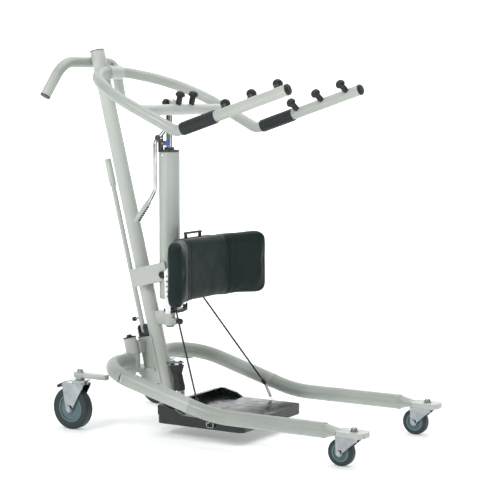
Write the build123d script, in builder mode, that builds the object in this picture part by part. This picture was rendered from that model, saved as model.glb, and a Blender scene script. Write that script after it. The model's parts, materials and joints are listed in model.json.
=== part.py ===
"""Sit to stand lift: a tall leaning mast on two opening legs, a wishbone of lifting arms raised by
a hand-pumped hydraulic ram, a knee pad and a foot plate.

Millimetres. +X is forward, towards the open ends of the legs, +Y is the lift's left, +Z is up.
The origin is on the floor, in the middle of the lift's length and width. The arms are modelled at
their lowest, the legs closed, and the castors trail backwards.
"""

from build123d import *
import math
import os

os.makedirs("parts", exist_ok=True)

# ---- driving dimensions ----
mast_lean = 14.04
mast_r = 22.5
mast_wall = 2.5
mast_foot_x = -210.7
mast_bottom_z = 62.0
mast_top = 1158.0

arm_r = 16.0
arm_wall = 2.5
arm_pivot_x = -430.0
arm_pivot_z = 1059.0
crossbar_x = -175.0
crossbar_z = 948.0
rod_pin_x = -228.0
rod_pin_z = 968.0

pump_x = -228.0
pump_r = 31.5
pump_bottom_z = 380.0
pump_top_z = 821.0
pump_pin_z = 455.0
rod_r = 9.5

leg_pivot_x = -323.0
leg_pivot_y = 66.0
leg_r = 22.2
leg_wall = 2.6
leg_y = 232.0
leg_z = 91.0
leg_tip_x = 559.0
pivot_bolt_r = 8.0
running_gap = 0.08

front_stem_x = 520.0
rear_stem_x = -398.0
rear_stem_y = 226.0
front_wheel_r = 38.0
rear_wheel_r = 63.5
brake_x = -446.0
brake_z = 135.0

plate_rear_x = -164.0
plate_front_x = 133.0
plate_half_y = 170.0
plate_bottom_z = 36.0
plate_top_z = 66.0

pad_bottom_z = 384.0
pad_top_z = 579.0
pad_front_x = -90.0
pad_thickness = 50.0

sides = [("left", 1), ("right", -1)]

lean = math.radians(mast_lean)
forward = (math.cos(lean), 0, math.sin(lean))
upward = (-math.sin(lean), 0, math.cos(lean))
mast_foot = Plane(origin=(mast_foot_x, 0, 0), x_dir=forward, z_dir=upward)


def mast_x(z):
    """The x of the mast's centre line at a height above the floor."""
    return mast_foot_x - math.tan(lean) * z


def keep(builder, label):
    """Names a finished piece and writes it."""
    builder.part.label = label
    export_step(builder.part, f"parts/{label}.step")


# ---- mast ----
with BuildPart() as mast:
    with BuildSketch(mast_foot):
        Circle(mast_r)
        Circle(mast_r - mast_wall, mode=Mode.SUBTRACT)
    extrude(amount=mast_top)
    with BuildSketch(Plane.XY.offset(-30)):
        with Locations((mast_foot_x, 0)):
            Rectangle(160, 80)
    extrude(amount=mast_bottom_z + 30, mode=Mode.SUBTRACT)
keep(mast, "mast")

# ---- push handle: one bar behind the mast, bent down at both ends ----
handle_x = -520.0
handle_z = 1090.0
handle_points = [
    (-543, -191, 989),
    (handle_x, -132, handle_z),
    (handle_x, 132, handle_z),
    (-543, 191, 989),
]
with BuildPart() as push_handle:
    with BuildLine() as handle_path:
        FilletPolyline(*handle_points, radius=80)
    with BuildSketch(Plane(origin=handle_path.line @ 0, z_dir=handle_path.line % 0)):
        Circle(arm_r)
        Circle(arm_r - arm_wall, mode=Mode.SUBTRACT)
    sweep()
    # the bar is coped where it is welded to the back of the mast
    with BuildSketch(mast_foot.offset(1060)):
        Circle(mast_r)
    extrude(amount=120, mode=Mode.SUBTRACT)
keep(push_handle, "push_handle")

# ---- plugs in the open tube ends of the mast and the push handle ----
with BuildPart() as tube_plugs:
    with BuildSketch(mast_foot.offset(mast_top)):
        Circle(mast_r)
    extrude(amount=3)
    with BuildSketch(mast_foot.offset(mast_top)):
        Circle(mast_r - mast_wall)
    extrude(amount=-14)
    for end, inner in ((handle_points[0], handle_points[1]), (handle_points[3], handle_points[2])):
        outward = Vector(*end) - Vector(*inner)
        with BuildSketch(Plane(origin=end, z_dir=outward)):
            Circle(arm_r)
        extrude(amount=3)
        with BuildSketch(Plane(origin=end, z_dir=outward)):
            Circle(arm_r - arm_wall)
        extrude(amount=-12)
keep(tube_plugs, "tube_plugs")

# ---- arm pivot: a sleeve across the front of the mast head, on two welded cheeks ----
sleeve_r = 21.0
sleeve_half = 30.0
pivot_side = Plane(origin=(arm_pivot_x, 0, arm_pivot_z), x_dir=(1, 0, 0), z_dir=(0, -1, 0))
with BuildPart() as arm_pivot_sleeve:
    with BuildSketch(pivot_side.offset(-sleeve_half)):
        Circle(sleeve_r)
    extrude(amount=2 * sleeve_half)
    for cheek_y in (-14, 8):
        with BuildSketch(pivot_side.offset(cheek_y)):
            with Locations((-34, 0)):
                Rectangle(68, 34)
        extrude(amount=6)
    with BuildSketch(mast_foot.offset(1040)):
        Circle(mast_r)
    extrude(amount=110, mode=Mode.SUBTRACT)
    with BuildSketch(mast_foot.offset(1040)):
        with Locations((-60, 0)):
            Rectangle(120, 60)
    extrude(amount=110, mode=Mode.SUBTRACT)
    with BuildSketch(pivot_side.offset(-sleeve_half)):
        Circle(arm_r + running_gap)
    extrude(amount=2 * sleeve_half, mode=Mode.SUBTRACT)
    # tapped hole for the retaining bolt
    with BuildSketch(Plane.XY.offset(arm_pivot_z + 16)):
        with Locations((arm_pivot_x, 0)):
            Circle(4)
    extrude(amount=8, mode=Mode.SUBTRACT)
keep(arm_pivot_sleeve, "arm_pivot_sleeve")

# ---- pump bracket: a box welded round the mast, its two cheeks reaching forward past the pump ----
cheek_inside = 34.0
cheek_thick = 4.0
bracket_low = 428.0
bracket_high = 483.0
with BuildPart() as pump_bracket:
    with BuildSketch(mast_foot.offset(bracket_low)):
        with Locations((41, 0)):
            Rectangle(134, 2 * (cheek_inside + cheek_thick))
    extrude(amount=bracket_high - bracket_low)
    with BuildSketch(mast_foot.offset(bracket_low)):
        with Locations((75, 0)):
            Rectangle(90, 2 * cheek_inside)
    extrude(amount=bracket_high - bracket_low, mode=Mode.SUBTRACT)
    with BuildSketch(mast_foot.offset(bracket_low + 4)):
        with Locations((4, 0)):
            Rectangle(52, 2 * cheek_inside)
    extrude(amount=bracket_high - bracket_low - 8, mode=Mode.SUBTRACT)
    with BuildSketch(mast_foot.offset(bracket_low)):
        Circle(mast_r)
    extrude(amount=bracket_high - bracket_low, mode=Mode.SUBTRACT)
    with BuildSketch(Plane(origin=(pump_x, 40, pump_pin_z), x_dir=(1, 0, 0), z_dir=(0, -1, 0))):
        Circle(6)
    extrude(amount=80, mode=Mode.SUBTRACT)
keep(pump_bracket, "pump_bracket")

# ---- bright hardware of the frame: pump bolt, arm pivot bolt, and keeper of the foot plate latch ----
with BuildPart() as frame_hardware:
    pump_bolt = Plane(origin=(pump_x, 44, pump_pin_z), x_dir=(1, 0, 0), z_dir=(0, -1, 0))
    with BuildSketch(pump_bolt):
        Circle(6)
    extrude(amount=88)
    for offset in (0, 82):
        with BuildSketch(pump_bolt.offset(offset)):
            Circle(9.5)
        extrude(amount=6)
    with BuildSketch(Plane.XY.offset(arm_pivot_z + 18)):
        with Locations((arm_pivot_x, 0)):
            Circle(4)
    extrude(amount=8)
    with BuildSketch(Plane.XY.offset(arm_pivot_z + sleeve_r)):
        with Locations((arm_pivot_x, 0)):
            RegularPolygon(8.5, 6)
    extrude(amount=7)
    keeper_root_x = mast_x(184) + mast_r - 3
    with BuildLine() as keeper_path:
        FilletPolyline(
            (keeper_root_x, -9, 183),
            (-184, -9, 187),
            (-184, 9, 187),
            (keeper_root_x, 9, 183),
            radius=4,
        )
    with BuildSketch(Plane(origin=keeper_path.line @ 0, z_dir=keeper_path.line % 0)):
        Circle(2.2)
    sweep()
    with BuildSketch(mast_foot.offset(150)):
        Circle(mast_r)
    extrude(amount=80, mode=Mode.SUBTRACT)
keep(frame_hardware, "frame_hardware")

# ---- mast socket: the channel behind the mast foot, with the housings of the leg pivots ----
channel_low = 128.0
channel_high = 274.0
low_plate_z = 158.0
barrel_low_z = low_plate_z + 8.3
barrel_high_z = 214.0
housing_low_z = barrel_high_z + 0.4
housing_r = 19.0
housing_height = 46.0
pivot_centres = [(leg_pivot_x, leg_pivot_y), (leg_pivot_x, -leg_pivot_y)]
with BuildPart() as mast_socket:
    with BuildSketch(mast_foot.offset(channel_low)):
        with Locations((-27, 0)):
            Rectangle(48, 52)
    extrude(amount=channel_high - channel_low)
    with BuildSketch(mast_foot.offset(channel_low)):
        with Locations((-27, 0)):
            Rectangle(40, 44)
    extrude(amount=channel_high - channel_low - 4, mode=Mode.SUBTRACT)
    with BuildSketch(Plane.XY.offset(low_plate_z)):
        with Locations((leg_pivot_x, 0)):
            RectangleRounded(50, 2 * leg_pivot_y + 46, 22)
        with Locations((-290, 0)):
            Rectangle(50, 60)
    extrude(amount=8)
    for side in (1, -1):
        # leaning housing above the leg's barrel, and the web that holds it to the channel
        with BuildSketch(
            Plane(
                origin=(leg_pivot_x + 5, side * leg_pivot_y, housing_low_z - 8),
                x_dir=forward,
                z_dir=upward,
            )
        ):
            Circle(housing_r)
        extrude(amount=housing_height + 8)
        with BuildSketch(Plane.XY.offset(housing_low_z)):
            with Locations((leg_pivot_x + 2, side * 37)):
                Rectangle(44, 34)
        extrude(amount=34)
        # gusset plate from the lower plate to the mast
        with BuildSketch(Plane.XZ.offset(-side * 24)):
            Polygon((-345, 160), (-270, 160), (-256, 122), (-300, 122), align=None)
        extrude(amount=side * 6)
        # the housing is faced off flat above the barrel
        with BuildSketch(Plane.XY.offset(barrel_low_z - 0.3)):
            with Locations((leg_pivot_x, side * leg_pivot_y)):
                Circle(34)
        extrude(amount=housing_low_z - barrel_low_z + 0.3, mode=Mode.SUBTRACT)
        with BuildSketch(Plane.XY.offset(low_plate_z)):
            with Locations((leg_pivot_x, side * leg_pivot_y)):
                Circle(pivot_bolt_r)
        extrude(amount=76, mode=Mode.SUBTRACT)
    with BuildSketch(mast_foot.offset(60)):
        Circle(mast_r)
    extrude(amount=240, mode=Mode.SUBTRACT)
keep(mast_socket, "mast_socket")

# ---- pivot bolts of the two legs, and the black caps on the housings ----
with BuildPart() as pivot_bolts:
    for centre in pivot_centres:
        with BuildSketch(Plane.XY.offset(low_plate_z)):
            with Locations(centre):
                Circle(pivot_bolt_r)
        extrude(amount=76)
        with BuildSketch(Plane.XY.offset(low_plate_z - 8)):
            with Locations(centre):
                RegularPolygon(13, 6)
        extrude(amount=8)
keep(pivot_bolts, "pivot_bolts")

with BuildPart() as housing_caps:
    for side in (1, -1):
        housing = Plane(
            origin=(leg_pivot_x + 5, side * leg_pivot_y, housing_low_z - 8),
            x_dir=forward,
            z_dir=upward,
        )
        with BuildSketch(housing.offset(housing_height + 8)):
            Circle(housing_r + 0.8)
        extrude(amount=4)
        with BuildSketch(housing.offset(housing_height + 12)):
            Circle(11)
        extrude(amount=2)
        with BuildSketch(housing.offset(housing_height + 14)):
            RegularPolygon(8, 6)
        extrude(amount=5)
keep(housing_caps, "housing_caps")

# ---- foot frame: a beam under the mast and two rails under the foot plate ----
rail_y = 24.0
with BuildPart() as foot_frame:
    with BuildSketch(Plane.XY.offset(42)):
        with Locations((-222, 0)):
            Rectangle(60, 56)
    extrude(amount=mast_bottom_z - 42)
    for side in (1, -1):
        with BuildSketch(Plane.XY.offset(42)):
            with Locations((-45, side * rail_y)):
                Rectangle(310, 20)
        extrude(amount=18)
    # upright lug of the foot plate latch
    with BuildSketch(Plane.XY.offset(60)):
        with Locations((-190, 0)):
            Rectangle(14, 20)
    extrude(amount=42)
keep(foot_frame, "foot_frame")

# ---- foot plate latch: a black handle in front of the mast foot ----
with BuildPart() as foot_latch:
    with BuildSketch(Plane.XZ.offset(-13)):
        Polygon(
            (-222, 176),
            (-186, 179),
            (-194, 152),
            (-183, 112),
            (-183, 102),
            (-204, 102),
            (-209, 140),
            align=None,
        )
    extrude(amount=26)
    # nose that stands inside the keeper
    with BuildSketch(Plane.XY.offset(170)):
        with Locations((-191, 0)):
            Rectangle(7, 10)
    extrude(amount=22)
keep(foot_latch, "foot_latch")

# ---- foot plate: a shallow moulded tray with a raised heel ----
plate_length = plate_front_x - plate_rear_x
plate_mid_x = (plate_front_x + plate_rear_x) / 2
with BuildPart() as foot_plate:
    with BuildSketch(Plane.XY.offset(plate_bottom_z)):
        with Locations((plate_mid_x, 0)):
            RectangleRounded(plate_length, 2 * plate_half_y, 18)
    extrude(amount=plate_top_z - plate_bottom_z)
    # heel wall and the two side walls that run down forward from it
    for side in (1, -1):
        with BuildSketch(Plane.XZ.offset(-side * plate_half_y)):
            Polygon(
                (plate_rear_x + 8, plate_top_z - 6),
                (plate_rear_x + 8, 88),
                (-140, 89),
                (-96, 79),
                (-72, plate_top_z),
                (-72, plate_top_z - 6),
                align=None,
            )
        extrude(amount=side * 9)
    with BuildSketch(Plane.XY.offset(plate_top_z - 6)):
        with Locations((plate_rear_x + 6, 0)):
            Rectangle(12, 2 * plate_half_y - 16)
    extrude(amount=27)
    with BuildSketch(Plane.XY.offset(plate_bottom_z)):
        with Locations((plate_mid_x, 0)):
            RectangleRounded(plate_length - 10, 2 * plate_half_y - 10, 14)
    extrude(amount=24, mode=Mode.SUBTRACT)
    for side in (1, -1):
        with BuildSketch(Plane.XY.offset(plate_bottom_z - 1)):
            with Locations((plate_rear_x, side * rail_y)):
                Rectangle(40, 20)
        extrude(amount=25, mode=Mode.SUBTRACT)
keep(foot_plate, "foot_plate")

# ---- fittings of the foot plate: heel screws, and a wire ring on each side for a cord ----
with BuildPart() as foot_plate_fittings:
    for side in (1, -1):
        for screw_x, screw_z in ((-128, 81), (-116, 73), (-142, 74)):
            with BuildSketch(Plane.XZ.offset(-side * (plate_half_y - 9))):
                with Locations((screw_x, screw_z)):
                    Circle(3.2)
            extrude(amount=side * 1.6)
        with BuildLine() as ring_path:
            FilletPolyline(
                (16, side * plate_half_y, 61),
                (16, side * (plate_half_y + 7), 61),
                (16, side * (plate_half_y + 7), 44),
                (38, side * (plate_half_y + 7), 44),
                (38, side * (plate_half_y + 7), 61),
                (38, side * plate_half_y, 61),
                radius=4.5,
            )
        with BuildSketch(Plane(origin=ring_path.line @ 0, z_dir=ring_path.line % 0)):
            Circle(1.8)
        sweep(path=ring_path.line)
keep(foot_plate_fittings, "foot_plate_fittings")

# ---- legs: a rear tube from the pivot barrel round the corner, and a front tube with a flat tip ----
corner = (leg_pivot_x - 2.5, 244.5, 200.6)
bend = (74.4, 230.6, leg_z)
seam = [c + 0.809 * (b - c) for c, b in zip(corner, bend)]
barrel_r = 25.0
tip_thick = 14.0
tip_wide = 57.0
flat_start_x = 433.0
flat_x = 478.0
for name, side in sides:
    rear_points = [
        (leg_pivot_x, side * leg_pivot_y, 192.0),
        (corner[0], side * corner[1], corner[2]),
        (seam[0], side * seam[1], seam[2]),
    ]
    front_points = [
        (seam[0], side * seam[1], seam[2]),
        (bend[0], side * bend[1], bend[2]),
        (flat_start_x, side * 231.5, leg_z),
    ]
    with BuildPart() as leg_rear:
        with BuildLine() as rear_path:
            FilletPolyline(*rear_points, radius=120)
        with BuildSketch(Plane(origin=rear_path.line @ 0, z_dir=rear_path.line % 0)):
            Circle(leg_r)
        sweep()
        with BuildSketch(Plane.XY.offset(barrel_low_z)):
            with Locations(rear_points[0][:2]):
                Circle(barrel_r)
        extrude(amount=barrel_high_z - barrel_low_z)
        with BuildSketch(Plane(origin=rear_path.line @ 1, z_dir=rear_path.line % 1)):
            Circle(leg_r - leg_wall)
        extrude(amount=-240, mode=Mode.SUBTRACT)
        # flats above and below the barrel, and the bore of the pivot bolt
        with BuildSketch(Plane.XY.offset(barrel_high_z)):
            with Locations((leg_pivot_x, side * 66)):
                Circle(44)
        extrude(amount=10, mode=Mode.SUBTRACT)
        with BuildSketch(Plane.XY.offset(barrel_low_z)):
            with Locations(rear_points[0][:2]):
                Circle(pivot_bolt_r + running_gap)
        extrude(amount=60, mode=Mode.SUBTRACT)
    keep(leg_rear, f"{name}_leg")

    with BuildPart() as leg_front:
        with BuildLine() as front_path:
            FilletPolyline(*front_points, radius=400)
        with BuildSketch(Plane(origin=front_path.line @ 0, z_dir=front_path.line % 0)):
            Circle(leg_r - 0.8)
            Circle(leg_r - leg_wall - 2, mode=Mode.SUBTRACT)
        sweep()
        with BuildSketch(Plane(origin=front_path.line @ 0, z_dir=front_path.line % 0)):
            Circle(leg_r - leg_wall)
            Circle(leg_r - leg_wall - 2, mode=Mode.SUBTRACT)
        extrude(amount=-70)
        # the end is pressed flat to carry the castor, starting just inside the round tube
        flat_end = Plane(origin=(flat_start_x, side * 231.5, leg_z), x_dir=(0, 1, 0), z_dir=(1, 0, 0))
        with BuildSketch(flat_end.offset(-3)):
            Ellipse(leg_r - 1.8, leg_r - 2)
        with BuildSketch(flat_end.offset(flat_x - flat_start_x)):
            Ellipse(tip_wide / 2, tip_thick / 2)
        loft()
        with BuildSketch(Plane.XY.offset(leg_z - tip_thick / 2)):
            with Locations(((flat_x + leg_tip_x) / 2 - 4, side * leg_y)):
                RectangleRounded(leg_tip_x - flat_x + 8, tip_wide, 18)
        extrude(amount=tip_thick)
        with BuildSketch(Plane.XY.offset(leg_z - 20)):
            with Locations((front_stem_x, side * leg_y)):
                Circle(6)
        extrude(amount=40, mode=Mode.SUBTRACT)
    keep(leg_front, f"{name}_leg_front")

    # square bar welded under the corner of the leg, carrying the rear castor
    with BuildPart() as outrigger:
        with BuildSketch(Plane.XY.offset(158)):
            with Locations((-360, side * rear_stem_y)):
                Rectangle(120, 20)
        extrude(amount=14)
        fillet(outrigger.edges().filter_by(Axis.Z).group_by(Axis.X)[0], radius=9.5)
        # boss between the bar and the head of the castor
        with BuildSketch(Plane.XY.offset(152)):
            with Locations((rear_stem_x, side * rear_stem_y)):
                Circle(13)
        extrude(amount=6)
        with BuildLine() as cope_path:
            FilletPolyline(*rear_points, radius=120)
        with BuildSketch(Plane(origin=cope_path.line @ 0, z_dir=cope_path.line % 0)):
            Circle(leg_r)
        sweep(mode=Mode.SUBTRACT)
        with BuildSketch(Plane.XY.offset(150)):
            with Locations((rear_stem_x, side * rear_stem_y)):
                Circle(6)
        extrude(amount=30, mode=Mode.SUBTRACT)
    keep(outrigger, f"{name}_outrigger")

    # bolts on which the castors swivel: front with a button head, rear with a domed one
    with BuildPart() as castor_bolts:
        for stem_x, stem_y, low_z, top_z in (
            (front_stem_x, leg_y, 68.0, leg_z + tip_thick / 2),
            (rear_stem_x, rear_stem_y, 130.0, 172.0),
        ):
            stem = Plane(origin=(stem_x, side * stem_y, 0))
            with BuildSketch(stem.offset(low_z)):
                Circle(6)
            extrude(amount=top_z - low_z)
            with BuildSketch(stem.offset(low_z)):
                RegularPolygon(9, 6)
            extrude(amount=7)
            with BuildSketch(stem.offset(top_z)):
                Circle(11.5)
            extrude(amount=3)
            with BuildSketch(stem.offset(top_z + 3)):
                Circle(9)
            extrude(amount=8)
            fillet(castor_bolts.edges().group_by(Axis.Z)[-1], radius=5)
    keep(castor_bolts, f"{name}_castor_bolts")

# ---- castors: fork with its axle, hub and tyre; the rear ones also have a brake tab ----
castors = [
    ("front", front_stem_x, leg_y, 483.0, front_wheel_r, 26.0, 12.0, 4.0, 77.0, 83.7, 17.0),
    ("rear", rear_stem_x, rear_stem_y, -426.0, rear_wheel_r, 42.0, 15.0, 6.0, 137.3, 151.7, 30.0),
]
for end, stem_x, stem_y, axle_x, wheel_r, hub_r, half_wide, axle_r, crown_z, top_z, head_r in castors:
    for name, side in sides:
        stem = Plane(origin=(stem_x, side * stem_y, 0))
        wheel = Plane(origin=(axle_x, side * stem_y, wheel_r), x_dir=(1, 0, 0), z_dir=(0, -1, 0))
        cheek_y = half_wide + 2.5
        cheek_thick = 2.5
        crown_thick = 4.0
        back_x = axle_x - (0.4 if end == "rear" else 0.3) * wheel_r
        front_x = stem_x + 0.8 * head_r
        with BuildPart() as fork:
            with BuildSketch(Plane.XY.offset(crown_z)):
                with Locations(((stem_x + axle_x) / 2 - 2, side * stem_y)):
                    Rectangle(stem_x - axle_x + 24, 2 * cheek_y)
                with Locations((stem_x, side * stem_y)):
                    Circle(head_r * 0.62 + 6)
            extrude(amount=crown_thick)
            with BuildSketch(stem.offset(crown_z + crown_thick)):
                Circle(head_r * 0.8)
            extrude(amount=top_z - crown_z - crown_thick)
            with BuildSketch(stem.offset(top_z - 3.5)):
                Circle(head_r)
            extrude(amount=3.5)
            for face in (-cheek_y - cheek_thick, cheek_y):
                with BuildSketch(wheel.offset(face)):
                    with BuildLine():
                        Polyline(
                            (-axle_r - 6, 0),
                            (back_x - axle_x, crown_z - wheel_r - 4),
                            (back_x - axle_x, crown_z - wheel_r + crown_thick),
                            (front_x - axle_x, crown_z - wheel_r + crown_thick),
                            (front_x - axle_x, crown_z - wheel_r - 4),
                            (axle_r + 6, 0),
                            (-axle_r - 6, 0),
                        )
                    make_face()
                    Circle(axle_r + 6)
                extrude(amount=cheek_thick)
            with BuildSketch(wheel.offset(-cheek_y - cheek_thick - 4)):
                Circle(axle_r)
            extrude(amount=2 * (cheek_y + cheek_thick + 4))
            for face in (-cheek_y - cheek_thick - 5, cheek_y + cheek_thick):
                with BuildSketch(wheel.offset(face)):
                    RegularPolygon(axle_r + 3.5, 6)
                extrude(amount=5)
            if end == "rear":
                brake_pin = Plane(origin=(brake_x, side * stem_y, brake_z), z_dir=(0, -1, 0))
                with BuildSketch(brake_pin.offset(-cheek_y)):
                    Circle(2.5)
                extrude(amount=2 * cheek_y)
            with BuildSketch(stem.offset(crown_z - 10)):
                Circle(6 + running_gap)
            extrude(amount=40, mode=Mode.SUBTRACT)
        keep(fork, f"{name}_{end}_fork")

        with BuildPart() as hub:
            with BuildSketch(wheel.offset(-half_wide + 4)):
                Circle(hub_r)
            extrude(amount=2 * half_wide - 8)
            with BuildSketch(wheel.offset(-cheek_y + 0.3)):
                Circle(axle_r + 6)
            extrude(amount=2 * cheek_y - 0.6)
            # raised rim either side, with a dished web between rim and boss
            for face in (-half_wide + 1, half_wide - 4):
                with BuildSketch(wheel.offset(face)):
                    Circle(hub_r)
                    Circle(hub_r - 5, mode=Mode.SUBTRACT)
                extrude(amount=3)
            with BuildSketch(wheel.offset(-cheek_y)):
                Circle(axle_r + running_gap)
            extrude(amount=2 * cheek_y, mode=Mode.SUBTRACT)
        keep(hub, f"{name}_{end}_hub")

        with BuildPart() as tyre:
            with BuildSketch(wheel.offset(-half_wide)):
                Circle(wheel_r)
            extrude(amount=2 * half_wide)
            fillet(tyre.edges(), radius=5)
            with BuildSketch(wheel.offset(-half_wide)):
                Circle(hub_r)
            extrude(amount=2 * half_wide, mode=Mode.SUBTRACT)
        keep(tyre, f"{name}_{end}_tyre")

for name, side in sides:
    tab = Plane(origin=(brake_x, side * rear_stem_y, brake_z), x_dir=(1, 0, 0), z_dir=(0, -1, 0))
    with BuildPart() as brake_tab:
        with BuildSketch(tab.offset(-12)):
            with BuildLine():
                Polyline((-30, -12), (-26, -14), (-4, -7), (5, -6), (5, 5), (-6, 6), (-30, -6), (-30, -12))
            make_face()
        extrude(amount=24)
        with BuildSketch(tab.offset(-12)):
            Circle(2.5 + running_gap)
        extrude(amount=24, mode=Mode.SUBTRACT)
    keep(brake_tab, f"{name}_brake_tab")

# ---- lifting arms: one tube bent into a wishbone, turning in the sleeve on the mast ----
arm_side = [
    (arm_pivot_x, 70, arm_pivot_z),
    (-325.4, 243, 1021.8),
    (-55.8, 219.8, 889.6),
    (300.0, 213.6, 1006.0),
]
arm_points = [(x, -y, z) for x, y, z in reversed(arm_side)] + arm_side
arm_radii = [39, 240, 100, 100, 240, 39]
with BuildPart() as lifting_arms:
    with BuildLine() as arm_path:
        FilletPolyline(*arm_points, radius=arm_radii)
    with BuildSketch(Plane(origin=arm_path.line @ 0, z_dir=arm_path.line % 0)):
        Circle(arm_r)
        Circle(arm_r - arm_wall, mode=Mode.SUBTRACT)
    sweep()
keep(lifting_arms, "lifting_arms")


def arm_run(side):
    """The plane at the free end of an arm, looking back along its last straight run."""
    tip = (300.0, side * 213.6, 1006.0)
    bend = (-55.8, side * 219.8, 889.6)
    return Plane(origin=tip, z_dir=Vector(*bend) - Vector(*tip))


# ---- crossbar between the arms, with the two lugs that carry the ram ----
lug_inside = 10.6
lug_thick = 5.0
with BuildPart() as crossbar:
    with BuildSketch(Plane(origin=(crossbar_x, 245, crossbar_z), x_dir=(1, 0, 0), z_dir=(0, -1, 0))):
        Circle(arm_r)
    extrude(amount=490)
    for lug_y in (-lug_inside - lug_thick, lug_inside):
        lug = Plane(origin=(rod_pin_x, lug_y, rod_pin_z), x_dir=(1, 0, 0), z_dir=(0, 1, 0))
        with BuildSketch(lug):
            with BuildLine():
                Polyline((0, -12), (50, 6), (50, 30), (0, 12), (0, -12))
            make_face()
            Circle(12)
        extrude(amount=lug_thick)
        with BuildSketch(lug):
            Circle(5)
        extrude(amount=lug_thick, mode=Mode.SUBTRACT)
    # the tube is hollow, and coped to fit against both arms
    with BuildSketch(Plane(origin=(crossbar_x, 245, crossbar_z), x_dir=(1, 0, 0), z_dir=(0, -1, 0))):
        Circle(arm_r - arm_wall)
    extrude(amount=490, mode=Mode.SUBTRACT)
    with BuildLine() as cope_path:
        FilletPolyline(*arm_points, radius=arm_radii)
    with BuildSketch(Plane(origin=cope_path.line @ 0, z_dir=cope_path.line % 0)):
        Circle(arm_r)
    sweep(mode=Mode.SUBTRACT)
    # only the middle piece is kept, between the arms
    with BuildSketch(Plane.XY.offset(800)):
        Rectangle(900, 2 * 226)
    extrude(amount=300, mode=Mode.INTERSECT)
keep(crossbar, "crossbar")

# ---- stub bolts in the lugs, with a black domed nut and a chrome washer on each ----
with BuildPart() as lug_bolts:
    for side in (1, -1):
        bolt = Plane(origin=(rod_pin_x, side * lug_inside, rod_pin_z), x_dir=(1, 0, 0), z_dir=(0, side, 0))
        with BuildSketch(bolt):
            Circle(5)
        extrude(amount=lug_thick)
        with BuildSketch(bolt.offset(lug_thick)):
            Circle(12)
        extrude(amount=3)
        with BuildSketch(bolt.offset(lug_thick + 3)):
            Circle(9)
        extrude(amount=9)
    fillet(lug_bolts.edges().group_by(Axis.Y)[0], radius=5)
    fillet(lug_bolts.edges().group_by(Axis.Y)[-1], radius=5)
keep(lug_bolts, "lug_bolts")

# ---- sling pegs: two on the crossbar and three on each arm ----
peg_profile = [
    (0, 8),
    (7, 8),
    (9, 22),
    (9, 38),
    (14.5, 42),
    (14.5, 47),
    (11, 53),
    (5, 56),
    (0, 56),
    (0, 8),
]
peg_planes = []
for side in (1, -1):
    peg_planes.append(
        Plane(origin=(crossbar_x, side * 35, crossbar_z), x_dir=(0, 1, 0), z_dir=(0.24, 0, 0.97))
    )
    for peg_x in (97, 181, 264):
        share = (peg_x + 55.8) / 355.8
        peg_origin = (peg_x, side * (219.8 - 6.2 * share), 889.6 + 116.4 * share)
        peg_planes.append(Plane(origin=peg_origin, x_dir=(1, 0, 0.3), z_dir=(-0.25, -0.73 * side, 0.63)))
with BuildPart() as sling_pegs:
    for peg in peg_planes:
        with BuildSketch(Plane(origin=peg.origin, x_dir=peg.x_dir, z_dir=peg.x_dir.cross(peg.z_dir))):
            with BuildLine():
                Polyline(*peg_profile)
            make_face()
        revolve(axis=Axis(peg.origin, peg.z_dir))
    # each peg is hollowed at its foot to sit on its tube
    with BuildSketch(Plane(origin=(crossbar_x, 100, crossbar_z), x_dir=(1, 0, 0), z_dir=(0, -1, 0))):
        Circle(arm_r)
    extrude(amount=200, mode=Mode.SUBTRACT)
    for side in (1, -1):
        with BuildSketch(arm_run(side)):
            Circle(arm_r)
        extrude(amount=330, mode=Mode.SUBTRACT)
keep(sling_pegs, "sling_pegs")

# ---- rubber hand grips on the arms, and the caps in their ends ----
with BuildPart() as arm_grips:
    for side in (1, -1):
        with BuildSketch(arm_run(side).offset(236)):
            Circle(18.6)
            Circle(arm_r, mode=Mode.SUBTRACT)
        extrude(amount=116)
        for index in range(13):
            with BuildSketch(arm_run(side).offset(241 + 8.6 * index)):
                Circle(19.4)
                Circle(arm_r, mode=Mode.SUBTRACT)
            extrude(amount=3)
keep(arm_grips, "arm_grips")

with BuildPart() as arm_caps:
    for side in (1, -1):
        tip = arm_run(side)
        with BuildSketch(tip):
            Circle(arm_r - arm_wall)
        extrude(amount=16)
        with BuildSketch(tip):
            Circle(arm_r + 0.4)
        extrude(amount=-9)
    fillet(arm_caps.edges().filter_by(GeomType.CIRCLE).group_by(Axis.X)[-1], radius=7)
keep(arm_caps, "arm_caps")

# ---- hydraulic pump: cylinder, head, release knob and ram ----
bore_r = 28.5
with BuildPart() as pump_cylinder:
    with BuildSketch(Plane.XY.offset(pump_bottom_z)):
        with Locations((pump_x, 0)):
            Circle(pump_r)
    extrude(amount=pump_top_z - pump_bottom_z)
    fillet(pump_cylinder.edges().group_by(Axis.Z)[0], radius=4)
    with BuildSketch(Plane.XY.offset(490)):
        with Locations((pump_x, 0)):
            Circle(bore_r)
    extrude(amount=pump_top_z - 490, mode=Mode.SUBTRACT)
    with BuildSketch(Plane(origin=(pump_x, 40, pump_pin_z), x_dir=(1, 0, 0), z_dir=(0, -1, 0))):
        Circle(6)
    extrude(amount=80, mode=Mode.SUBTRACT)
keep(pump_cylinder, "pump_cylinder")

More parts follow.
